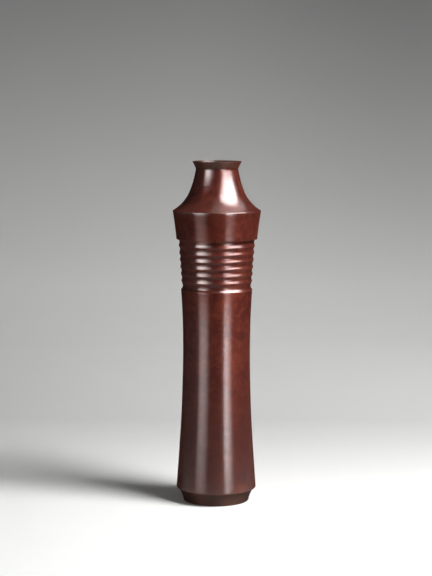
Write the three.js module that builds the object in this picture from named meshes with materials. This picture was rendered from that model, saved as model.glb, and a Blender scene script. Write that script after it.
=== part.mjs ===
// A slender cast-bronze flower vase, 300 mm tall, turned round one upright axis.
// It is put together from below upwards: a moulded foot ring that carries the base plate, a waisted
// body with a ribbed collar, and a shoulder casting with the flared neck and the everted lip.
// Each lower casting enters the next with a spigot, seats it on a flat shoulder and is soldered inside.
// Units are millimetres, +Z is up, and the origin is the centre of the foot's resting face.

import * as THREE from "three";

// Foot ring
const FOOT_HEIGHT = 11.2;
const FOOT_FLARE = 4.9; // how far the hollow moulding widens from the table to the body
const FOOT_START_ANGLE = 8; // degrees from the vertical at the table
const FOOT_SPIGOT_HEIGHT = 8.0;
const FOOT_SPIGOT_WALL = 3.2;
const BASE_RECESS_DEPTH = 6.5;
const BASE_LEDGE_WIDTH = 3.6;

// Base plate
const PLATE_THICKNESS = 3.0;
const PLATE_CLEARANCE = 0.2;

// Waisted body
const BODY_HEIGHT = 177.2;
const HEM_RADIUS = 35.3;
const HEM_ROUND = 1.4;
const HEM_TAPER_HEIGHT = 38.8; // the straight flare above the lower edge
const HEM_TAPER_RADIUS = 32.6; // radius where that flare ends
const WAIST_RADIUS = 29.55;
const WAIST_HEIGHT = 126.8; // above the body's lower edge
const BODY_TOP_RADIUS = 31.35;
const BODY_WALL = 2.6;
const FOOT_SOCKET_WALL = 2.9;
const FOOT_SOCKET_MARGIN = 2.5; // how much deeper the socket is than the foot's spigot is high

// Ribbed collar, part of the body casting
const RIB_COUNT = 6;
const RIB_PITCH = 6.22;
const RIB_DEPTH = 0.8;
const GROOVE_SHARE = 0.52; // of the pitch, from a crest up to the bottom of the groove above it
const CREST_SHARPNESS = 1.4; // 2 would be an even wave and 1 would have cusps for crests
const FIRST_CREST_HEIGHT = 7.4; // of the lowest crest above the body's top edge
const LAST_CREST_MARGIN = 5.7; // from the highest crest up to the shoulder
const FIRST_CREST_INSET = 0.25; // of the lowest crest from the body's top edge
const COLLAR_WALL = 2.4; // behind the lowest groove
const COVE_START_ANGLE = -50; // degrees, where the cove leaves the body's top edge

// Seat and spigot that carry the shoulder casting
const SHOULDER_OVERHANG = 2.05;
const SEAT_WIDTH = 1.5;
const SHOULDER_SPIGOT_HEIGHT = 9.0;
const SHOULDER_SPIGOT_WALL = 2.5;

// Shoulder, neck and lip
const SHOULDER_HEIGHT = 25.0;
const SHOULDER_BOTTOM_RADIUS = 35.45;
const SHOULDER_TAPER = 3.3;
const SHOULDER_START_ANGLE = 5.2; // degrees, so the band hollows slightly as it rises
const FLARE_HEIGHT = 16.9; // of the tight lower curve of the neck
const FLARE_TOP_RADIUS = 23.85;
const FLARE_START_ANGLE = -60.6;
const UPPER_NECK_HEIGHT = 19.5;
const THROAT_RADIUS = 18.45;
const LIP_HEIGHT = 6.6;
const LIP_FLARE = 3.3;
const LIP_START_ANGLE = 22;
const LIP_WIDTH = 2.0;
const UPPER_WALL = 2.6;

// Joints and edges
const JOINT_GAP = 0.2; // radial room for solder between a spigot and its socket
const SOLDER_LEG = 1.4;
const EDGE_ROUND = 0.6;

// Faces round the axis and steps along each curve
const ROUND_STEPS = 48;
const RIB_STEPS = 6;
const EDGE_STEPS = 2;
const HEM_STEPS = 4;

// Heights of the stages, stacked from the table upwards
const BODY_BOTTOM = FOOT_HEIGHT;
const BODY_TOP = BODY_BOTTOM + BODY_HEIGHT;
const COLLAR_HEIGHT = FIRST_CREST_HEIGHT + (RIB_COUNT - 1) * RIB_PITCH + LAST_CREST_MARGIN;
const SHOULDER_BOTTOM = BODY_TOP + COLLAR_HEIGHT;
const SHOULDER_TOP = SHOULDER_BOTTOM + SHOULDER_HEIGHT;
const THROAT_Z = SHOULDER_TOP + FLARE_HEIGHT + UPPER_NECK_HEIGHT;
const LIP_TOP = THROAT_Z + LIP_HEIGHT;
const PLATE_TOP = BASE_RECESS_DEPTH + PLATE_THICKNESS;
const FOOT_SPIGOT_TOP = FOOT_HEIGHT + FOOT_SPIGOT_HEIGHT;

// Radii of the joints, each taken from the casting outside it
const FOOT_FLANGE_RADIUS = HEM_RADIUS - HEM_ROUND;
const FOOT_SOCKET_RADIUS = HEM_RADIUS - FOOT_SOCKET_WALL;
const FOOT_SPIGOT_RADIUS = FOOT_SOCKET_RADIUS - JOINT_GAP;
const FOOT_BORE = FOOT_SPIGOT_RADIUS - FOOT_SPIGOT_WALL;
const COLLAR_TOP_RADIUS = SHOULDER_BOTTOM_RADIUS - SHOULDER_OVERHANG;
const SHOULDER_SPIGOT_RADIUS = COLLAR_TOP_RADIUS - SEAT_WIDTH;
const SHOULDER_SPIGOT_BORE = SHOULDER_SPIGOT_RADIUS - SHOULDER_SPIGOT_WALL;
const SHOULDER_SOCKET_RADIUS = SHOULDER_SPIGOT_RADIUS + JOINT_GAP;
const SHOULDER_SOCKET_TOP = SHOULDER_BOTTOM + SHOULDER_SPIGOT_HEIGHT - SOLDER_LEG;

const RED_PATINA = new THREE.MeshStandardMaterial({ color: 0x5a2a22, roughness: 0.35, metalness: 0.6 });
const DARK_PATINA = new THREE.MeshStandardMaterial({ color: 0x3a2b22, roughness: 0.5, metalness: 0.6 });
const BARE_BRONZE = new THREE.MeshStandardMaterial({ color: 0x6b4a32, roughness: 0.55, metalness: 0.8 });
const SOLDER = new THREE.MeshStandardMaterial({ color: 0x8d8a84, roughness: 0.5, metalness: 0.8 });

const point = (radius, z) => new THREE.Vector2(radius, z);

// A circular arc from start to end that leaves start at startAngle, in degrees from straight up
// and positive outwards. Each point carries the arc's own angle there, for a wall to follow it.
function arc(start, end, startAngle, steps) {
  const chord = end.clone().sub(start);
  const first = THREE.MathUtils.degToRad(startAngle);
  const last = 2 * Math.atan2(chord.x, chord.y) - first;
  const radius = chord.length() / (2 * Math.sin((last - first) / 2));
  return Array.from({ length: steps + 1 }, (_, i) => {
    const angle = first + ((last - first) * i) / steps;
    const at = point(
      start.x + radius * (Math.cos(first) - Math.cos(angle)),
      start.y + radius * (Math.sin(angle) - Math.sin(first)),
    );
    return { at, angle };
  });
}

const places = (curve) => curve.map(({ at }) => at);

// The same curve moved inwards by a wall's thickness, square to the surface.
const inside = (curve, wall) =>
  curve.map(({ at, angle }) => point(at.x - wall * Math.cos(angle), at.y + wall * Math.sin(angle)));

// The corner of an outline, rounded with a curve that its two sides touch.
function rounded(before, corner, after, radius = EDGE_ROUND, steps = EDGE_STEPS) {
  const toBefore = before.clone().sub(corner);
  const toAfter = after.clone().sub(corner);
  const half = Math.abs(toBefore.angleTo(toAfter)) / 2;
  const reach = Math.min(radius / Math.tan(half), toBefore.length() / 2, toAfter.length() / 2);
  const from = corner.clone().addScaledVector(toBefore.normalize(), reach);
  const to = corner.clone().addScaledVector(toAfter.normalize(), reach);
  return new THREE.QuadraticBezierCurve(from, corner, to).getPoints(steps);
}

// A closed outline of radius and height points, turned round the Z axis.
function turned(name, outline, material) {
  const geometry = new THREE.LatheGeometry([...outline, outline[0].clone()], ROUND_STEPS);
  geometry.rotateX(Math.PI / 2);
  const mesh = new THREE.Mesh(geometry, material);
  mesh.name = name;
  return mesh;
}

// The foot ring: a hollow moulding outside, a ledge for the base plate inside, a spigot on top.
function footRing() {
  const footEdge = point(FOOT_FLANGE_RADIUS - FOOT_FLARE, 0);
  const flangeEdge = point(FOOT_FLANGE_RADIUS, FOOT_HEIGHT);
  const moulding = arc(footEdge, flangeEdge, FOOT_START_ANGLE, 8);
  const recessRadius = FOOT_BORE - BASE_LEDGE_WIDTH;
  return turned(
    "foot_ring",
    [
      ...rounded(point(recessRadius, 0), footEdge, moulding[1].at),
      ...places(moulding).slice(1),
      point(FOOT_SPIGOT_RADIUS, FOOT_HEIGHT),
      point(FOOT_SPIGOT_RADIUS, FOOT_SPIGOT_TOP),
      point(FOOT_BORE, FOOT_SPIGOT_TOP),
      point(FOOT_BORE, BASE_RECESS_DEPTH),
      point(recessRadius, BASE_RECESS_DEPTH),
      point(recessRadius, 0),
    ],
    DARK_PATINA,
  );
}

// The disc that closes the bottom. It lies on the foot ring's ledge.
function basePlate() {
  const radius = FOOT_BORE - PLATE_CLEARANCE;
  return turned(
    "base_plate",
    [
      point(0, BASE_RECESS_DEPTH),
      point(radius, BASE_RECESS_DEPTH),
      point(radius, PLATE_TOP),
      point(0, PLATE_TOP),
    ],
    BARE_BRONZE,
  );
}

// Radius of the line that the rib crests touch, at a height above the body's top edge.
function crestRadius(height) {
  const firstCrest = BODY_TOP_RADIUS - FIRST_CREST_INSET;
  const lastCrest = COLLAR_TOP_RADIUS;
  const share = (height - FIRST_CREST_HEIGHT) / ((RIB_COUNT - 1) * RIB_PITCH);
  return firstCrest + (lastCrest - firstCrest) * share;
}

// The ribs' wave, from the lowest groove to the highest. The crests are narrower than the grooves.
function ribs() {
  const points = [];
  for (let step = -RIB_STEPS / 2; step <= (RIB_COUNT - 0.5) * RIB_STEPS; step++) {
    const rib = Math.floor(step / RIB_STEPS);
    const phase = step / RIB_STEPS - rib;
    const rise = phase < 0.5 ? 2 * phase * GROOVE_SHARE : 1 - 2 * (1 - phase) * (1 - GROOVE_SHARE);
    const height = FIRST_CREST_HEIGHT + (rib + rise) * RIB_PITCH;
    const sunk = RIB_DEPTH * Math.sin(Math.PI * phase) ** CREST_SHARPNESS;
    points.push(point(crestRadius(height) - sunk, BODY_TOP + height));
  }
  return points;
}

// The body casting: a waisted tube with the foot's socket, the ribbed collar and the top spigot.
function ribbedBody() {
  const hem = point(HEM_RADIUS, BODY_BOTTOM);
  const taperTop = point(HEM_TAPER_RADIUS, BODY_BOTTOM + HEM_TAPER_HEIGHT);
  const waist = point(WAIST_RADIUS, BODY_BOTTOM + WAIST_HEIGHT);
  const topEdge = point(BODY_TOP_RADIUS, BODY_TOP);
  const taperSlope = (HEM_TAPER_RADIUS - HEM_RADIUS) / HEM_TAPER_HEIGHT;
  const lower = arc(taperTop, waist, THREE.MathUtils.radToDeg(Math.atan(taperSlope)), 7);
  const upper = arc(waist, topEdge, 0, 6);
  const wave = ribs();
  const cove = arc(topEdge, wave[0], COVE_START_ANGLE, 4);
  const spigotTop = SHOULDER_BOTTOM + SHOULDER_SPIGOT_HEIGHT;
  const collarBoreTop = SHOULDER_BOTTOM - SHOULDER_SPIGOT_WALL;
  const socketDepth = FOOT_SPIGOT_HEIGHT + FOOT_SOCKET_MARGIN;
  const tubeBoreBottom = HEM_RADIUS + taperSlope * socketDepth - BODY_WALL;
  const tubeBore = [...inside(lower, BODY_WALL), ...inside(upper, BODY_WALL).slice(1, -2)];
  return turned(
    "ribbed_body",
    [
      ...rounded(point(FOOT_SOCKET_RADIUS, BODY_BOTTOM), hem, taperTop, HEM_ROUND, HEM_STEPS),
      ...places(lower),
      ...places(upper).slice(1, -1),
      ...rounded(upper.at(-2).at, topEdge, cove[1].at),
      ...places(cove).slice(1),
      ...wave.slice(1),
      point(COLLAR_TOP_RADIUS, SHOULDER_BOTTOM),
      point(SHOULDER_SPIGOT_RADIUS, SHOULDER_BOTTOM),
      point(SHOULDER_SPIGOT_RADIUS, spigotTop),
      point(SHOULDER_SPIGOT_BORE, spigotTop),
      point(SHOULDER_SPIGOT_BORE, collarBoreTop),
      point(wave[0].x - COLLAR_WALL, wave[0].y),
      ...tubeBore.reverse(),
      point(tubeBoreBottom, BODY_BOTTOM + socketDepth),
      point(FOOT_SOCKET_RADIUS, BODY_BOTTOM + socketDepth),
      point(FOOT_SOCKET_RADIUS, BODY_BOTTOM),
    ],
    RED_PATINA,
  );
}

// Outer radius of the ledge above the shoulder's socket, where its solder lies.
function shoulderLedgeRadius() {
  const share = (SHOULDER_SOCKET_TOP - SHOULDER_BOTTOM) / SHOULDER_HEIGHT;
  return SHOULDER_BOTTOM_RADIUS + SHOULDER_TAPER * share - UPPER_WALL;
}

// The upper casting: a tapered shoulder band with a socket, the flared neck and the everted lip.
function neckAndShoulder() {
  const bandBottom = point(SHOULDER_BOTTOM_RADIUS, SHOULDER_BOTTOM);
  const edge = point(SHOULDER_BOTTOM_RADIUS + SHOULDER_TAPER, SHOULDER_TOP);
  const flareTop = point(FLARE_TOP_RADIUS, SHOULDER_TOP + FLARE_HEIGHT);
  const throat = point(THROAT_RADIUS, THROAT_Z);
  const lipEdge = point(THROAT_RADIUS + LIP_FLARE, LIP_TOP);
  const lipInner = point(lipEdge.x - LIP_WIDTH, LIP_TOP);
  const band = arc(bandBottom, edge, SHOULDER_START_ANGLE, 4);
  const flare = arc(edge, flareTop, FLARE_START_ANGLE, 7);
  const neck = arc(flareTop, throat, THREE.MathUtils.radToDeg(flare.at(-1).angle), 5);
  const lip = arc(throat, lipEdge, LIP_START_ANGLE, 3);
  const aboveSolder = ({ y }) => y > SHOULDER_SOCKET_TOP + SOLDER_LEG;
  const bandBore = inside(band, UPPER_WALL).slice(0, -1).filter(aboveSolder);
  const neckBore = [...inside(flare, UPPER_WALL).slice(1), ...inside(neck, UPPER_WALL).slice(1)];
  return turned(
    "neck_and_shoulder",
    [
      ...rounded(point(SHOULDER_SOCKET_RADIUS, SHOULDER_BOTTOM), bandBottom, band[1].at),
      ...places(band).slice(1, -1),
      ...rounded(band.at(-2).at, edge, flare[1].at),
      ...places(flare).slice(1),
      ...places(neck).slice(1),
      ...places(lip).slice(1, -1),
      ...rounded(lip.at(-2).at, lipEdge, lipInner),
      ...rounded(lipEdge, lipInner, neckBore.at(-1)),
      ...neckBore.reverse(),
      ...bandBore.reverse(),
      point(shoulderLedgeRadius(), SHOULDER_SOCKET_TOP),
      point(SHOULDER_SOCKET_RADIUS, SHOULDER_SOCKET_TOP),
      point(SHOULDER_SOCKET_RADIUS, SHOULDER_BOTTOM),
    ],
    RED_PATINA,
  );
}

// A three-sided bead of solder in the corner between a flat floor and an upright wall. Side is 1
// where the bead lies outside the wall's radius and -1 where it lies inside it.
function solderBead(name, wallRadius, side, floor, leg = SOLDER_LEG) {
  const near = wallRadius + side * (JOINT_GAP / 2);
  const corners = [point(near, floor), point(near + side * leg, floor), point(near, floor + leg)];
  return turned(name, side > 0 ? corners : corners.reverse(), SOLDER);
}

function solderBeads() {
  const ledgeWidth = shoulderLedgeRadius() - SHOULDER_SOCKET_RADIUS;
  const shoulderLeg = Math.min(SOLDER_LEG, ledgeWidth);
  return [
    solderBead("base_solder", FOOT_BORE, -1, PLATE_TOP),
    solderBead("foot_solder", FOOT_SOCKET_RADIUS, -1, FOOT_SPIGOT_TOP),
    solderBead("shoulder_solder", SHOULDER_SPIGOT_RADIUS, 1, SHOULDER_SOCKET_TOP, shoulderLeg),
  ];
}

const vase = new THREE.Group();
vase.add(footRing(), basePlate(), ribbedBody(), neckAndShoulder(), ...solderBeads());

export default vase;
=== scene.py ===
"""A cast-bronze flower vase with a red-brown patina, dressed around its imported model.

Profiles are in millimetres, as (radius, height) points, and become metres when they are turned.
"""

import math

import bpy
from mathutils import Matrix, Quaternion, Vector, noise


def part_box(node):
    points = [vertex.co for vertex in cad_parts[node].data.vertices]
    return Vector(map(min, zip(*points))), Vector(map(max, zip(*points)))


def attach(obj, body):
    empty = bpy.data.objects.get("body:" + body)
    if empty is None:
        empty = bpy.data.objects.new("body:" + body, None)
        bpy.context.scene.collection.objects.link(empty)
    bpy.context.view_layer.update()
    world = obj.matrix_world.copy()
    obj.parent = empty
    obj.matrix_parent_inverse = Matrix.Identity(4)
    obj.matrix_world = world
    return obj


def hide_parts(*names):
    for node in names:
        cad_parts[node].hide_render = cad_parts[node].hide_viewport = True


MM = 0.001

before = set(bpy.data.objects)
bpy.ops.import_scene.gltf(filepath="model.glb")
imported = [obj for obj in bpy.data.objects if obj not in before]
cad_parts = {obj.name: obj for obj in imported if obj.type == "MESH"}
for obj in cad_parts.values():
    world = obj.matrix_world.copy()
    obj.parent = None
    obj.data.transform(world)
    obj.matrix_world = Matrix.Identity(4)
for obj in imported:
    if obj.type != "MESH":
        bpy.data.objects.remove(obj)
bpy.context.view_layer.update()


def corners(node):
    """A node's lowest and highest corner in millimetres."""
    low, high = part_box(node)
    return low / MM, high / MM


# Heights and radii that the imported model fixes
_, foot_high = corners("foot_ring")
body_low, body_high = corners("ribbed_body")
top_low, top_high = corners("neck_and_shoulder")
plate_low, plate_high = corners("base_plate")

# Foot ring
FOOT_FLARE = 4.9
FOOT_START_ANGLE = 8
BASE_LEDGE_WIDTH = 3.6
FOOT_SPIGOT_WALL = 3.2

# Waisted body
HEM_RADIUS = 35.3
HEM_ROUND = 1.4
HEM_TAPER_HEIGHT = 38.8
HEM_TAPER_RADIUS = 32.6
WAIST_RADIUS = 29.55
WAIST_HEIGHT = 126.8
BODY_HEIGHT = 177.2
BODY_TOP_RADIUS = 31.35
BODY_WALL = 2.6
FOOT_SOCKET_WALL = 2.9
FOOT_SOCKET_MARGIN = 2.5

# Ribbed collar
RIB_COUNT = 6
RIB_PITCH = 6.22
RIB_DEPTH = 0.8
GROOVE_SHARE = 0.52
CREST_SHARPNESS = 1.4
FIRST_CREST_HEIGHT = 7.4
FIRST_CREST_INSET = 0.25
COLLAR_WALL = 2.4
COVE_START_ANGLE = -50

# Seat and spigot under the shoulder
SHOULDER_OVERHANG = 2.05
SEAT_WIDTH = 1.5
SHOULDER_SPIGOT_WALL = 2.5

# Shoulder, neck and lip
SHOULDER_HEIGHT = 25.0
SHOULDER_BOTTOM_RADIUS = 35.45
SHOULDER_TAPER = 3.3
SHOULDER_START_ANGLE = 5.2
FLARE_HEIGHT = 16.9
FLARE_TOP_RADIUS = 23.85
FLARE_START_ANGLE = -60.6
UPPER_NECK_HEIGHT = 19.5
THROAT_RADIUS = 18.45
LIP_FLARE = 3.3
LIP_START_ANGLE = 22
LIP_WIDTH = 2.0
UPPER_WALL = 2.6

# Joints and edges
JOINT_GAP = 0.2
SOLDER_LEG = 1.4
EDGE_ROUND = 0.6

# Base plate and solder
PLATE_EDGE_ROUND = 0.3
CENTRE_MARK_RADIUS = 1.2
CENTRE_MARK_DEPTH = 0.3

# Fineness of the turned meshes
ROUND_STEPS = 256
CURVE_STEPS = 24
RIB_STEPS = 24
EDGE_STEPS = 6
HEM_STEPS = 10
PLATE_EDGE_STEPS = 3
FILLET_STEPS = 8
SMALLEST_STEP = 1e-5  # outline points nearer than this to the one before are left out
TINY = 1e-6
SHARP_ANGLE = 32

# The slight waver of a hand-finished surface: its greatest dip, the radius of the circle on which
# its noise is read, and the noise's scale
WAVER = 0.04
WAVER_RADIUS = 30
WAVER_SCALE = 0.045

# Shares of the wax film, where they differ from 1
BAND_WAX = 0.34
MOUTH_WAX = 0.35
EDGE_WAX = 1.8
BODY_TOP_WAX = 0.25
HEM_WAX = 1.9
HEM_WAX_FADED = 1.25
HEM_WAX_FADE = 0.35  # how far up the hem's taper the wax has faded to that share
BORE_WAX = 0.0

BODY_BOTTOM = body_low.z
BODY_TOP = BODY_BOTTOM + BODY_HEIGHT
SHOULDER_BOTTOM = top_low.z
SHOULDER_TOP = SHOULDER_BOTTOM + SHOULDER_HEIGHT
THROAT_Z = SHOULDER_TOP + FLARE_HEIGHT + UPPER_NECK_HEIGHT
COLLAR_TOP_RADIUS = SHOULDER_BOTTOM_RADIUS - SHOULDER_OVERHANG
SPIGOT_RADIUS = COLLAR_TOP_RADIUS - SEAT_WIDTH
SPIGOT_BORE = SPIGOT_RADIUS - SHOULDER_SPIGOT_WALL
SHOULDER_SOCKET_RADIUS = SPIGOT_RADIUS + JOINT_GAP
SHOULDER_SOCKET_TOP = body_high.z - SOLDER_LEG
FOOT_FLANGE_RADIUS = foot_high.x
FOOT_SOCKET_RADIUS = HEM_RADIUS - FOOT_SOCKET_WALL
FOOT_SPIGOT_RADIUS = FOOT_SOCKET_RADIUS - JOINT_GAP
FOOT_BORE = FOOT_SPIGOT_RADIUS - FOOT_SPIGOT_WALL


def point(radius, z):
    return Vector((radius, z))


def arc(start, end, start_angle, steps=CURVE_STEPS):
    """Points and surface angles of a circular arc that leaves start at start_angle degrees from
    straight up, positive outwards."""
    chord = end - start
    first = math.radians(start_angle)
    last = 2 * math.atan2(chord.x, chord.y) - first
    radius = chord.length / (2 * math.sin((last - first) / 2))
    curve = []
    for i in range(steps + 1):
        angle = first + (last - first) * i / steps
        across = math.cos(first) - math.cos(angle)
        up = math.sin(angle) - math.sin(first)
        curve.append((start + radius * Vector((across, up)), angle))
    return curve


def places(curve):
    return [at for at, _ in curve]


def inside(curve, wall):
    """The curve moved inwards by a wall's thickness, square to the surface."""
    return [at + wall * Vector((-math.cos(angle), math.sin(angle))) for at, angle in curve]


def rounded(before, corner, after, radius=EDGE_ROUND, steps=EDGE_STEPS):
    """An outline's corner as a curve that its two sides touch."""
    to_before, to_after = before - corner, after - corner
    half = to_before.angle(to_after) / 2
    reach = min(radius / math.tan(half), to_before.length / 2, to_after.length / 2)
    start = corner + to_before.normalized() * reach
    end = corner + to_after.normalized() * reach
    curve = []
    for i in range(steps + 1):
        t = i / steps
        curve.append(start * (1 - t) ** 2 + corner * 2 * t * (1 - t) + end * t**2)
    return curve


def crest_radius(height):
    first = BODY_TOP_RADIUS - FIRST_CREST_INSET
    share = (height - FIRST_CREST_HEIGHT) / ((RIB_COUNT - 1) * RIB_PITCH)
    return first + (COLLAR_TOP_RADIUS - first) * share


def ribs():
    """The ribs' wave from the lowest groove to the highest, with crests narrower than grooves."""
    wave = []
    for step in range(-RIB_STEPS // 2, int((RIB_COUNT - 0.5) * RIB_STEPS) + 1):
        rib = step // RIB_STEPS
        phase = step / RIB_STEPS - rib
        if phase < 0.5:
            rise = 2 * phase * GROOVE_SHARE
        else:
            rise = 1 - 2 * (1 - phase) * (1 - GROOVE_SHARE)
        height = FIRST_CREST_HEIGHT + (rib + rise) * RIB_PITCH
        sunk = RIB_DEPTH * math.sin(math.pi * phase) ** CREST_SHARPNESS
        wave.append(point(crest_radius(height) - sunk, BODY_TOP + height))
    return wave


def foot_outline():
    """The foot ring's outline. Here and below, where an edge is rounded, the nearest few points of
    the curves beside it are left out."""
    foot_edge = point(FOOT_FLANGE_RADIUS - FOOT_FLARE, 0)
    moulding = arc(foot_edge, point(FOOT_FLANGE_RADIUS, BODY_BOTTOM), FOOT_START_ANGLE)
    recess_edge = point(FOOT_BORE - BASE_LEDGE_WIDTH, 0)
    ledge_edge = point(recess_edge.x, plate_low.z)
    ledge_back = point(FOOT_BORE, plate_low.z)
    return [
        *rounded(recess_edge, foot_edge, places(moulding)[4]),
        *places(moulding)[3:],
        point(FOOT_SPIGOT_RADIUS, BODY_BOTTOM),
        point(FOOT_SPIGOT_RADIUS, foot_high.z),
        point(FOOT_BORE, foot_high.z),
        ledge_back,
        *rounded(ledge_back, ledge_edge, recess_edge),
        recess_edge,
    ]


def body_outline():
    """The body's outline, the shares of wax at its points and its points inside the vase."""
    hem = point(HEM_RADIUS, BODY_BOTTOM)
    taper_top = point(HEM_TAPER_RADIUS, BODY_BOTTOM + HEM_TAPER_HEIGHT)
    waist = point(WAIST_RADIUS, BODY_BOTTOM + WAIST_HEIGHT)
    top_edge = point(BODY_TOP_RADIUS, BODY_TOP)
    taper_slope = (HEM_TAPER_RADIUS - HEM_RADIUS) / HEM_TAPER_HEIGHT
    lower = arc(taper_top, waist, math.degrees(math.atan(taper_slope)))
    upper = arc(waist, top_edge, 0)
    wave = ribs()
    cove = arc(top_edge, wave[0], COVE_START_ANGLE)
    socket_top = foot_high.z + FOOT_SOCKET_MARGIN
    tube_bore_bottom = HEM_RADIUS + taper_slope * (socket_top - BODY_BOTTOM) - BODY_WALL
    tube_bore = inside(lower, BODY_WALL) + inside(upper, BODY_WALL)[1:-6]
    bore = [
        point(SPIGOT_BORE, body_high.z),
        point(SPIGOT_BORE, SHOULDER_BOTTOM - SHOULDER_SPIGOT_WALL),
        point(wave[0].x - COLLAR_WALL, wave[0].y),
        *reversed(tube_bore),
        point(tube_bore_bottom, socket_top),
    ]
    hem_start = point(FOOT_SOCKET_RADIUS, BODY_BOTTOM)
    hem_edge = rounded(hem_start, hem, taper_top, HEM_ROUND, HEM_STEPS)
    above_hem = hem.lerp(taper_top, HEM_WAX_FADE)
    outline = [
        *hem_edge,
        above_hem,
        *places(lower),
        *places(upper)[1:-1],
        *rounded(places(upper)[-2], top_edge, places(cove)[4]),
        *places(cove)[4:],
        *wave[1:],
        point(COLLAR_TOP_RADIUS, SHOULDER_BOTTOM),
        point(SPIGOT_RADIUS, SHOULDER_BOTTOM),
        point(SPIGOT_RADIUS, body_high.z),
        *bore,
        point(FOOT_SOCKET_RADIUS, socket_top),
    ]
    waxed = {tuple(p): HEM_WAX for p in hem_edge} | {tuple(above_hem): HEM_WAX_FADED}
    for i, p in enumerate(places(upper)):
        waxed[tuple(p)] = 1 + (BODY_TOP_WAX - 1) * (i / CURVE_STEPS) ** 2
    waxed |= {tuple(p): BORE_WAX for p in bore}
    return outline, waxed, bore


def ledge_radius():
    """Outer radius of the ledge above the shoulder's socket."""
    share = (SHOULDER_SOCKET_TOP - SHOULDER_BOTTOM) / SHOULDER_HEIGHT
    return SHOULDER_BOTTOM_RADIUS + SHOULDER_TAPER * share - UPPER_WALL


def neck_outline():
    """The neck and shoulder's outline, the shares of wax at its points and its points inside."""
    band_bottom = point(SHOULDER_BOTTOM_RADIUS, SHOULDER_BOTTOM)
    edge = point(SHOULDER_BOTTOM_RADIUS + SHOULDER_TAPER, SHOULDER_TOP)
    flare_top = point(FLARE_TOP_RADIUS, SHOULDER_TOP + FLARE_HEIGHT)
    throat = point(THROAT_RADIUS, THROAT_Z)
    lip_edge = point(THROAT_RADIUS + LIP_FLARE, top_high.z)
    lip_inner = point(lip_edge.x - LIP_WIDTH, top_high.z)
    band = arc(band_bottom, edge, SHOULDER_START_ANGLE)
    flare = arc(edge, flare_top, FLARE_START_ANGLE)
    neck = arc(flare_top, throat, math.degrees(flare[-1][1]))
    lip = arc(throat, lip_edge, LIP_START_ANGLE)
    band_bore = [p for p in inside(band, UPPER_WALL)[:-3] if p.y > body_high.z]
    neck_bore = inside(flare, UPPER_WALL)[3:] + inside(neck, UPPER_WALL)[1:]
    bore = [*reversed(neck_bore), *reversed(band_bore)]
    mouth = rounded(lip_edge, lip_inner, neck_bore[-1])
    shoulder_edge = rounded(places(band)[-3], edge, places(flare)[3])
    outline = [
        *rounded(point(SHOULDER_SOCKET_RADIUS, SHOULDER_BOTTOM), band_bottom, places(band)[2]),
        *places(band)[2:-2],
        *shoulder_edge,
        *places(flare)[2:],
        *places(neck)[1:],
        *places(lip)[1:-3],
        *rounded(places(lip)[-4], lip_edge, lip_inner),
        *mouth,
        *bore,
        point(ledge_radius(), SHOULDER_SOCKET_TOP),
        point(SHOULDER_SOCKET_RADIUS, SHOULDER_SOCKET_TOP),
        point(SHOULDER_SOCKET_RADIUS, SHOULDER_BOTTOM),
    ]
    waxed = {tuple(p): BAND_WAX for p in places(band)[2:-3]}
    waxed |= {tuple(p): EDGE_WAX for p in shoulder_edge}
    waxed |= {tuple(p): BORE_WAX for p in bore}
    waxed |= {tuple(p): MOUTH_WAX for p in [*mouth[2:], *bore[:4]]}
    return outline, waxed, [*mouth[2:], *bore]


def plate_outline():
    """The base plate's outline, with the lathe's centre mark underneath."""
    low_edge = point(plate_high.x, plate_low.z)
    high_edge = point(plate_high.x, plate_high.z)
    low_middle, high_middle = point(0, plate_low.z), point(0, plate_high.z)
    return [
        point(0, plate_low.z + CENTRE_MARK_DEPTH),
        point(CENTRE_MARK_RADIUS, plate_low.z),
        *rounded(low_middle, low_edge, high_edge, PLATE_EDGE_ROUND, PLATE_EDGE_STEPS),
        *rounded(low_edge, high_edge, high_middle, PLATE_EDGE_ROUND, PLATE_EDGE_STEPS),
        high_middle,
    ]


def fillet_outline(node, wall_outside):
    """A hollow-faced fillet of solder in the same corner as the model's bead, against a wall that
    stands outside it or else inside it."""
    low, high = corners(node)
    leg = high.z - low.z
    wall = high.x if wall_outside else high.x - leg
    face = []
    for i in range(FILLET_STEPS + 1):
        turn = math.pi / 2 * i / FILLET_STEPS
        across, up = leg * (1 - math.sin(turn)), leg * (1 - math.cos(turn))
        face.append(point(wall - across if wall_outside else wall + across, low.z + up))
    if wall_outside:
        face.reverse()
    return [*face, point(wall, low.z)]


def convexity(outline):
    """How sharply the outline turns outwards at each point, from -1 in a tight hollow to 1 on an
    edge."""
    count = len(outline)
    bends = []
    for i, here in enumerate(outline):
        back, ahead = here - outline[i - 1], outline[(i + 1) % count] - here
        if min(back.length, ahead.length) < TINY:
            bends.append(0.0)
            continue
        turn = math.atan2(back.x * ahead.y - back.y * ahead.x, back.dot(ahead))
        bends.append(turn / (back.length + ahead.length) * 2)
    return [max(-1.0, min(1.0, bend)) for bend in bends]


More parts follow.
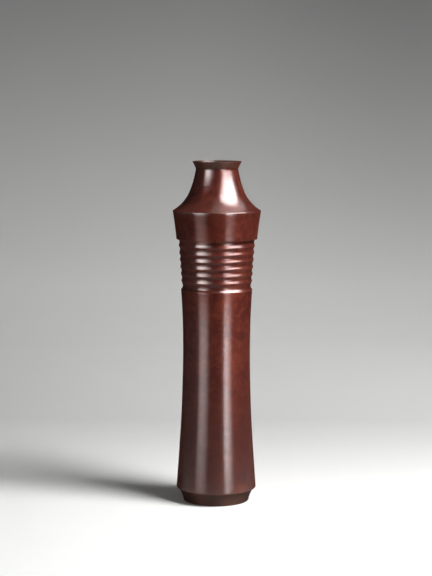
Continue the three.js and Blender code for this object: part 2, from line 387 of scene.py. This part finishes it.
def turned(name, outline, waxed=None, bore=(), waver=WAVER):
    """A closed outline turned round the Z axis into a mesh object. Waver, in millimetres, is how
    far the hand-finished surface dips under the true shape. Waxed gives the share of wax at the
    outline's points where it isn't 1, and bore lists the points inside the vase. The mesh carries
    both, and how convex each point is, as the attributes wax, bore and edge_wear."""
    closed = [p for i, p in enumerate(outline) if (p - outline[i - 1]).length > SMALLEST_STEP]
    edges = convexity(closed)
    shares = waxed or {}
    inner = {tuple(p) for p in bore}
    verts, faces, rings = [], [], []
    wear, wax, unseen = [], [], []
    for p, edge in zip(closed, edges):
        ring = []
        count = 1 if p.x < TINY else ROUND_STEPS
        for j in range(count):
            turn = 2 * math.pi * j / ROUND_STEPS
            direction = Vector((math.cos(turn), math.sin(turn), 0))
            radius = p.x
            if waver:
                spot = Vector((direction.x * WAVER_RADIUS, direction.y * WAVER_RADIUS, p.y))
                radius -= waver * (0.5 + 0.5 * noise.noise(spot * WAVER_SCALE))
            ring.append(len(verts))
            verts.append((direction * radius + Vector((0, 0, p.y))) * MM)
            wear.append(edge)
            wax.append(shares.get(tuple(p), 1.0))
            unseen.append(float(tuple(p) in inner))
        rings.append(ring)
    for here, ahead in zip(rings, rings[1:] + rings[:1]):
        if len(here) == 1 and len(ahead) == 1:
            continue
        for j in range(ROUND_STEPS):
            k = (j + 1) % ROUND_STEPS
            if len(here) == 1:
                faces.append((here[0], ahead[k], ahead[j]))
            elif len(ahead) == 1:
                faces.append((here[j], here[k], ahead[0]))
            else:
                faces.append((here[j], here[k], ahead[k], ahead[j]))
    mesh = bpy.data.meshes.new(name)
    mesh.from_pydata(verts, [], faces)
    for attribute, values in (("edge_wear", wear), ("wax", wax), ("bore", unseen)):
        mesh.attributes.new(attribute, "FLOAT", "POINT").data.foreach_set("value", values)
    mesh.update()
    mesh.shade_smooth()
    mesh.set_sharp_from_angle(angle=math.radians(SHARP_ANGLE))
    piece = bpy.data.objects.new(name, mesh)
    bpy.context.scene.collection.objects.link(piece)
    return piece


class Nodes:
    """A small helper that adds and joins shader nodes."""

    def __init__(self, material):
        material.use_nodes = True
        self.tree = material.node_tree
        self.shader = self.tree.nodes["Principled BSDF"]
        self.coordinates = self.tree.nodes.new("ShaderNodeTexCoord").outputs["Object"]

    def add(self, kind, inputs=None, **settings):
        node = self.tree.nodes.new(kind)
        for key, value in settings.items():
            setattr(node, key, value)
        for key, value in (inputs or {}).items():
            if isinstance(value, bpy.types.NodeSocket):
                self.tree.links.new(value, node.inputs[key])
            else:
                node.inputs[key].default_value = value
        return node

    def link(self, output, socket):
        self.tree.links.new(output, self.shader.inputs[socket])

    def stretched(self, scale):
        """Object coordinates scaled unevenly."""
        return self.add("ShaderNodeMapping", {"Vector": self.coordinates, "Scale": scale}).outputs[0]

    def noise(self, scale, detail=4.0, roughness=0.55, vector=None, distortion=0.0):
        inputs = {"Vector": vector or self.coordinates, "Scale": scale, "Detail": detail}
        inputs |= {"Roughness": roughness, "Distortion": distortion}
        return self.add("ShaderNodeTexNoise", inputs).outputs["Fac"]

    def spread(self, value, low, high, to_low=0.0, to_high=1.0):
        inputs = {"Value": value, "From Min": low, "From Max": high}
        inputs |= {"To Min": to_low, "To Max": to_high}
        node = self.add("ShaderNodeMapRange", inputs, interpolation_type="SMOOTHSTEP")
        return node.outputs["Result"]

    def math(self, operation, a, b):
        return self.add("ShaderNodeMath", {0: a, 1: b}, operation=operation).outputs[0]

    def distance(self, place):
        inputs = {0: self.coordinates, 1: place}
        return self.add("ShaderNodeVectorMath", inputs, operation="DISTANCE").outputs["Value"]

    def mix(self, factor, a, b):
        node = self.add("ShaderNodeMix", data_type="RGBA")
        for key, value in ((0, factor), (6, a), (7, b)):
            if isinstance(value, bpy.types.NodeSocket):
                self.tree.links.new(value, node.inputs[key])
            else:
                node.inputs[key].default_value = value
        return node.outputs[2]

    def carried(self, name):
        """A value that the turned meshes carry: edge_wear, wax or bore."""
        return self.add("ShaderNodeAttribute", attribute_name=name).outputs["Fac"]

    def bump(self, height, distance, strength):
        inputs = {"Height": height, "Distance": distance, "Strength": strength}
        self.link(self.add("ShaderNodeBump", inputs).outputs["Normal"], "Normal")


def rgb(hex_colour):
    """A linear colour from sRGB hex digits."""
    channels = [int(hex_colour[i : i + 2], 16) / 255 for i in (0, 2, 4)]
    linear = [c / 12.92 if c <= 0.04045 else ((c + 0.055) / 1.055) ** 2.4 for c in channels]
    return (*linear, 1.0)


# Heights in metres between which the patina changes its tone, or the flare takes painted shade, low
# to high
FOOT_TONE_FADES = (0.06, 0.18)
FLARE_SHADE_STARTS = (0.2565, 0.2575)
FLARE_SHADE_FADES = (0.263, 0.275)
LIP_TONE_STARTS = (0.2935, 0.2965)

PATCH_FADES = (0.005, 0.013)  # distances in metres from the middle of the rubbed patch
WAX_IOR = 1.5
WAX_FADES = (0.3, 0.75)  # from facing the eye, 0, to glancing, 1
RING_FINENESS = 2200  # turning rings per metre
RING_DEPTH = 0.00009


def patina(
    name, deep, base, warm, worn, grime, foot,
    metallic, roughness, coat, coat_roughness, patch=None, lip=None,
):
    """Bronze under a coloured patina: cloudy in its depth, finely mottled, rubbed to the worn tone
    on its edges and to grime in its hollows, with the foot's tone low down. Where a lip's tone is
    given it colours the lip, and the lower flare above the shoulder is darkened towards the foot's
    tone as painted shade, for how the light falls on it. A patch is the middle of one small spot
    rubbed to the warm tone. Over it lies a thin film of wax, with turning rings that smear the
    highlights up and down and no gleam at a glancing angle. Inside the vase it is bare of wax, dark
    and dull."""
    material = bpy.data.materials.new(name)
    n = Nodes(material)
    clouds = n.spread(n.noise(26, 5, 0.6, distortion=0.6), 0.36, 0.66)
    mottle = n.spread(n.noise(170, 6, 0.65), 0.42, 0.72)
    drift = n.spread(n.noise(12, 3, 0.5, n.stretched((1, 1, 0.35))), 0.42, 0.68)
    edge = n.carried("edge_wear")
    wax = n.carried("wax")
    dull = n.carried("bore")
    uneven = n.spread(n.noise(90, 3), 0.3, 0.7, 0.35, 0.9)
    rubbed = n.math("MULTIPLY", n.spread(edge, 0.25, 0.9), uneven)
    hollow = n.spread(edge, -0.05, -0.6)
    colour = n.mix(clouds, deep, base)
    colour = n.mix(n.math("MULTIPLY", mottle, 0.55), colour, warm)
    colour = n.mix(n.math("MULTIPLY", drift, 0.35), colour, deep)
    colour = n.mix(n.math("MULTIPLY", rubbed, 0.5), colour, worn)
    colour = n.mix(n.math("MULTIPLY", hollow, 0.6), colour, grime)
    height = n.add("ShaderNodeSeparateXYZ", {0: n.coordinates}).outputs[2]
    ragged = n.math("ADD", height, n.math("MULTIPLY", n.noise(30, 3), 0.03))
    colour = n.mix(n.spread(ragged, *FOOT_TONE_FADES, 0.55, 0.0), colour, foot)
    if lip:
        # painted shade: the lower flare above the shoulder is darkened towards the foot's tone, for
        # how the light falls on it
        above = n.spread(height, *FLARE_SHADE_STARTS, 0.0, 0.45)
        flare = n.math("MULTIPLY", above, n.spread(height, *FLARE_SHADE_FADES, 1.0, 0.0))
        colour = n.mix(flare, colour, foot)
        colour = n.mix(n.spread(height, *LIP_TONE_STARTS, 0.0, 0.85), colour, lip)
    colour = n.mix(n.math("MULTIPLY", dull, 0.9), colour, grime)
    if patch:
        offset = n.distance(patch)
        near = n.math("ADD", offset, n.math("MULTIPLY", n.noise(160, 3), 0.008))
        colour = n.mix(n.spread(near, *PATCH_FADES, 0.55, 0.0), colour, warm)
    n.link(colour, "Base Color")
    rough = n.spread(n.noise(60, 4, 0.6), 0.3, 0.7, roughness - 0.05, roughness + 0.07)
    n.link(n.math("MAXIMUM", rough, n.math("MULTIPLY", dull, 0.75)), "Roughness")
    rim = n.add("ShaderNodeLayerWeight", {"Blend": 0.5}).outputs["Facing"]
    streaks = n.spread(n.noise(1, 3, 0.6, n.stretched((8, 8, 700))), 0.3, 0.7, 0.9, 1.08)
    gleam = n.math("MULTIPLY", n.spread(rim, *WAX_FADES, coat, 0.0), wax)
    n.link(n.math("MULTIPLY", gleam, streaks), "Coat Weight")
    n.shader.inputs["Metallic"].default_value = metallic
    n.shader.inputs["Coat Roughness"].default_value = coat_roughness
    n.shader.inputs["Coat IOR"].default_value = WAX_IOR
    n.shader.inputs["Specular IOR Level"].default_value = 0.0
    n.shader.inputs["Anisotropic"].default_value = 0.8
    n.shader.inputs["Anisotropic Rotation"].default_value = 0.25
    tangent = n.add("ShaderNodeTangent", direction_type="RADIAL", axis="Z")
    n.link(tangent.outputs[0], "Tangent")
    rings = n.noise(1, 1, 0.5, n.stretched((5, 5, RING_FINENESS)))
    film = n.add("ShaderNodeBump", {"Height": rings, "Distance": RING_DEPTH, "Strength": 1.0})
    n.link(film.outputs["Normal"], "Coat Normal")
    grain = n.math("ADD", n.noise(420, 3, 0.5), n.math("MULTIPLY", n.noise(45, 3), 2.0))
    n.bump(grain, 0.00001, 0.6)
    return material


def bare_bronze(name, deep, base, turning_pitch):
    """Turned bronze left unpolished: fine rings from the tool and dull spots."""
    material = bpy.data.materials.new(name)
    n = Nodes(material)
    wave = n.add(
        "ShaderNodeTexWave",
        {"Vector": n.coordinates, "Scale": 1 / turning_pitch, "Distortion": 0.4, "Detail": 2.0},
        wave_type="RINGS",
        rings_direction="Z",
    ).outputs["Fac"]
    clouds = n.spread(n.noise(60, 5, 0.6), 0.35, 0.7)
    n.link(n.mix(clouds, deep, base), "Base Color")
    n.link(n.spread(n.noise(120, 4), 0.3, 0.7, 0.42, 0.62), "Roughness")
    n.shader.inputs["Metallic"].default_value = 0.9
    n.bump(n.math("ADD", wave, n.noise(500, 3)), 0.00008, 0.6)
    return material


def solder_metal(name):
    material = bpy.data.materials.new(name)
    n = Nodes(material)
    clouds = n.spread(n.noise(220, 5, 0.6), 0.35, 0.7)
    n.link(n.mix(clouds, rgb("5f5c57"), rgb("8c8982")), "Base Color")
    n.link(n.spread(n.noise(160, 4), 0.3, 0.7, 0.4, 0.6), "Roughness")
    n.shader.inputs["Metallic"].default_value = 0.9
    n.bump(n.noise(300, 4), 0.0002, 0.6)
    return material


def dress(piece, node, material):
    piece.data.materials.append(material)
    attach(piece, "root")
    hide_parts(node)


def build_vase():
    red = patina(
        "red_patina", deep=rgb("431c18"), base=rgb("58281e"), warm=rgb("683123"),
        worn=rgb("704031"), grime=rgb("301815"), foot=rgb("3a211d"),
        metallic=0.08, roughness=0.38, coat=0.425, coat_roughness=0.13,
        patch=(0.022, -0.027, 0.014), lip=rgb("55362b"),
    )
    dark = patina(
        "dark_patina", deep=rgb("351f18"), base=rgb("502e22"), warm=rgb("563d2e"),
        worn=rgb("6a4836"), grime=rgb("221611"), foot=rgb("221611"),
        metallic=0.3, roughness=0.55, coat=0.26, coat_roughness=0.4,
    )
    bare = bare_bronze("bare_bronze", rgb("4a3424"), rgb("7a573a"), turning_pitch=0.0012)
    solder = solder_metal("solder")
    dress(turned("foot_moulding", foot_outline()), "foot_ring", dark)
    dress(turned("base_disc", plate_outline(), waver=0.0), "base_plate", bare)
    dress(turned("body_shell", *body_outline()), "ribbed_body", red)
    dress(turned("neck_shell", *neck_outline()), "neck_and_shoulder", red)
    walls_outside = {"base_solder": True, "foot_solder": True, "shoulder_solder": False}
    for node, outside in walls_outside.items():
        piece = turned(node.replace("solder", "fillet"), fillet_outline(node, outside), waver=0.0)
        dress(piece, node, solder)


# The camera stands where the photograph's perspective puts it
CAMERA_DISTANCE = 1.4
CAMERA_HEIGHT = 0.35
CAMERA_OFFSET = -0.0006
CAMERA_PITCH = 6.55
CAMERA_ROLL = 0.17
LENS = 100.1


def place_camera():
    data = bpy.data.cameras.new("camera")
    data.lens = LENS
    data.sensor_width = 36
    data.clip_start = 0.01
    camera = bpy.data.objects.new("camera", data)
    bpy.context.scene.collection.objects.link(camera)
    camera.matrix_world = (
        Matrix.Translation((CAMERA_OFFSET, -CAMERA_DISTANCE, CAMERA_HEIGHT))
        @ Matrix.Rotation(math.radians(90 - CAMERA_PITCH), 4, "X")
        @ Matrix.Rotation(math.radians(CAMERA_ROLL), 4, "Z")
    )
    bpy.context.scene.camera = camera


# The sweep: a pale table top that curves up behind into a backdrop, greyer further off as painted
# falloff of the studio light
SWEEP_FRONT_HALF = 0.25
SWEEP_BACK_HALF = 0.6
FLOOR_FRONT = -0.36
FLOOR_BACK = 0.9
SWEEP_RADIUS = 1.2
BACKDROP_TOP = 3.0
SWEEP_STEPS = 24
SWEEP_BLUE = 0.985  # its share of the grey, which makes the paper a trace warm
# painted light: these greys copy how the studio light pools near the vase and falls off further back
SWEEP_LIGHT_FALLOFF_GREYS = [  # how far back plus how far up, and how grey there
    (0.0, 0.81), (0.07, 0.75), (0.14, 0.69), (0.25, 0.62), (0.36, 0.58), (0.48, 0.64),
    (0.87, 0.84), (1.03, 0.86), (1.3, 0.84), (1.6, 0.73), (2.0, 0.575), (2.5, 0.38),
]
# painted shade: the sweep is darkened near its left edge close by and at its right far off, where
# less light falls
LEFT_SHADE = 0.12  # how much darker the sweep is near its left edge close by
RIGHT_SHADE = 0.2  # and at its right far off
RIGHT_SHADE_NEAR = RIGHT_SHADE / 4  # and close by


def build_sweep():
    rows = [(FLOOR_FRONT, 0.0), (FLOOR_BACK, 0.0)]
    for i in range(1, SWEEP_STEPS + 1):
        turn = math.pi / 2 * i / SWEEP_STEPS
        back, up = SWEEP_RADIUS * math.sin(turn), SWEEP_RADIUS * (1 - math.cos(turn))
        rows.append((FLOOR_BACK + back, up))
    rows.append((FLOOR_BACK + SWEEP_RADIUS, BACKDROP_TOP))
    verts = []
    for y, z in rows:
        share = (y - FLOOR_FRONT) / (FLOOR_BACK + SWEEP_RADIUS - FLOOR_FRONT)
        half = SWEEP_FRONT_HALF + (SWEEP_BACK_HALF - SWEEP_FRONT_HALF) * share
        verts += [(-half, y, z), (half, y, z)]
    faces = [(2 * i, 2 * i + 1, 2 * i + 3, 2 * i + 2) for i in range(len(rows) - 1)]
    mesh = bpy.data.meshes.new("sweep")
    mesh.from_pydata(verts, [], faces)
    mesh.shade_smooth()
    sweep = bpy.data.objects.new("sweep", mesh)
    bpy.context.scene.collection.objects.link(sweep)
    mesh.materials.append(sweep_paper())


def sweep_paper():
    material = bpy.data.materials.new("sweep_paper")
    n = Nodes(material)
    across, back, up = n.add("ShaderNodeSeparateXYZ", {0: n.coordinates}).outputs
    away = n.math("ADD", back, up)
    longest = SWEEP_LIGHT_FALLOFF_GREYS[-1][0]
    ramp = n.add("ShaderNodeValToRGB", {0: n.math("DIVIDE", away, longest)})
    stops = ramp.color_ramp.elements
    while len(stops) < len(SWEEP_LIGHT_FALLOFF_GREYS):
        stops.new(1.0)
    for stop, (distance, grey) in zip(stops, SWEEP_LIGHT_FALLOFF_GREYS):
        stop.position = distance / longest
        stop.color = (grey, grey, grey * SWEEP_BLUE, 1)
    # painted shade near the left edge and far off on the right, laid over the greys' painted light
    # falloff
    leftmost, rightmost = n.spread(across, -0.45, 0.0, 1.0, 0.0), n.spread(across, -0.1, 0.4)
    left = n.math("MULTIPLY", leftmost, n.spread(away, 0.4, 2.0, LEFT_SHADE, 0.0))
    farther = n.spread(away, 0.1, 2.4, RIGHT_SHADE_NEAR, RIGHT_SHADE)
    right = n.math("MULTIPLY", rightmost, farther)
    n.link(n.mix(n.math("ADD", left, right), ramp.outputs[0], (0, 0, 0, 1)), "Base Color")
    n.shader.inputs["Roughness"].default_value = 0.9
    n.shader.inputs["Specular IOR Level"].default_value = 0.0
    return material


SHINE_AHEAD = 0.02  # a softbox's mirror image stands this far in front of its light


class Softbox:
    """A softbox beside the vase, rectangular or round. Azimuth is from the camera's side, positive
    to the right, tilt is how far its face looks down and lean is how far it is turned in its own
    plane, in degrees. Shine is how bright its mirror image is, with 1 for white, and light is how
    bright it is for what it lights, from its brighter middle, whose share of the face each way is
    core. Across and upwards are shares of both, evenly spaced over the face: from the camera's
    side outwards and from the bottom to the top."""

    def __init__(
        self, name, azimuth, distance, height, tilt, size, light, shine,
        across=(1, 1), upwards=(1, 1), core=1.0, lean=0.0, shape="RECTANGLE",
    ):
        self.shape, self.lean = shape, math.radians(lean)
        self.fades = {"X": across if azimuth > 0 else across[::-1], "Y": upwards}
        a, t = math.radians(azimuth), math.radians(tilt)
        ahead = Vector((math.sin(a), -math.cos(a), 0))
        self.facing = ahead * math.cos(t) + Vector((0, 0, math.sin(t)))
        self.centre = ahead * distance + Vector((0, 0, height))
        shown = self.lamp(name + "_shine", size[0], size[1], shine, SHINE_AHEAD)
        shown.visible_diffuse = False
        if light:
            lit = self.lamp(name + "_light", size[0] * core, size[1] * core, light / core**2, 0)
            lit.visible_glossy = False

    def lamp(self, name, width, height, radiance, ahead):
        data = bpy.data.lights.new(name, "AREA")
        data.shape = self.shape
        data.size, data.size_y = width, height
        area = width * height * (math.pi / 4 if self.shape == "ELLIPSE" else 1)
        data.energy = radiance * math.pi * area
        lamp = bpy.data.objects.new(name, data)
        bpy.context.scene.collection.objects.link(lamp)
        lamp.location = self.centre - self.facing * ahead
        upright = self.facing.to_track_quat("Z", "Y")
        lamp.rotation_euler = (upright @ Quaternion((0, 0, 1), self.lean)).to_euler()
        lamp.visible_camera = False
        self.shade(data)
        return lamp

    def shade(self, data):
        """The face's uneven brightness."""
        data.use_nodes = True
        nodes, links = data.node_tree.nodes, data.node_tree.links
        face = nodes.new("ShaderNodeSeparateXYZ")
        links.new(nodes.new("ShaderNodeNewGeometry").outputs["Parametric"], face.inputs[0])
        strength = nodes.new("ShaderNodeMath")
        strength.operation = "MULTIPLY"
        for i, (axis, shares) in enumerate(self.fades.items()):
            ramp = nodes.new("ShaderNodeValToRGB")
            links.new(face.outputs[axis], ramp.inputs[0])
            stops = ramp.color_ramp.elements
            while len(stops) < len(shares):
                stops.new(1.0)
            for j, (stop, share) in enumerate(zip(stops, shares)):
                stop.position = j / (len(shares) - 1)
                stop.color = (share, share, share, 1)
            links.new(ramp.outputs[0], strength.inputs[i])
        links.new(strength.outputs[0], nodes["Emission"].inputs["Strength"])


WORLD_STRENGTH = 0.11


def light_studio():
    Softbox(
        "left_softbox", azimuth=-46.5, distance=1.2, height=0.21, tilt=0, size=(0.78, 1.1),
        light=0.9, shine=56.0, lean=9, across=(0.12, 0.75, 1, 0.85, 0.3),
        upwards=(0.1, 0.2, 0.19, 0.14, 0.27, 0.48, 0.85, 1),
    )
    Softbox(
        "left_flap", azimuth=-28, distance=1.2, height=0.6, tilt=0, size=(0.36, 0.26),
        light=0, shine=11.0,
    )
    Softbox(
        "left_wall", azimuth=-100, distance=1.2, height=0.35, tilt=0, size=(1.45, 1.3),
        light=0, shine=0.7, across=(1, 0.5, 0.33, 0.3, 0.3), upwards=(1, 1, 1, 0.3, 0.1),
    )
    Softbox(
        "key_skirt", azimuth=90, distance=1.0, height=0.85, tilt=30, size=(0.6, 0.55),
        light=0, shine=24.0, across=(0.5, 1, 0.6, 0.3, 0.15), upwards=(0.3, 1, 0.8, 0.1),
    )
    Softbox(
        "ceiling", azimuth=84, distance=0.5, height=1.6, tilt=70, size=(2.4, 1.5),
        light=0, shine=9.0, across=(0.01, 0.12, 0.3, 0.55, 0.8, 1, 0.8, 0.4),
        upwards=(0.7, 1, 0.7, 0.2),
    )
    Softbox(
        "right_strip", azimuth=38, distance=1.3, height=0.18, tilt=0, size=(0.64, 0.78),
        light=0.4, shine=43.0, across=(0.5, 1, 0.95, 0.6, 0.3, 0.1),
        upwards=(0.12, 1, 0.46, 0.46, 0.6, 0.6),
    )
    Softbox(
        "key", azimuth=60, distance=1.0, height=1.19, tilt=44, size=(1.66, 1.52),
        light=8.1, shine=60.0, core=0.5, shape="ELLIPSE", across=(0.3, 1, 1, 1, 0.25),
        upwards=(0.4, 1, 1, 1, 0.25),
    )
    world = bpy.data.worlds.new("studio")
    bpy.context.scene.world = world
    world.use_nodes = True
    background = world.node_tree.nodes["Background"]
    background.inputs["Color"].default_value = (1, 1, 1, 1)
    background.inputs["Strength"].default_value = WORLD_STRENGTH


place_camera()
build_sweep()
light_studio()
build_vase()

bpy.context.scene.view_settings.view_transform = "Standard"
bpy.context.view_layer.update()
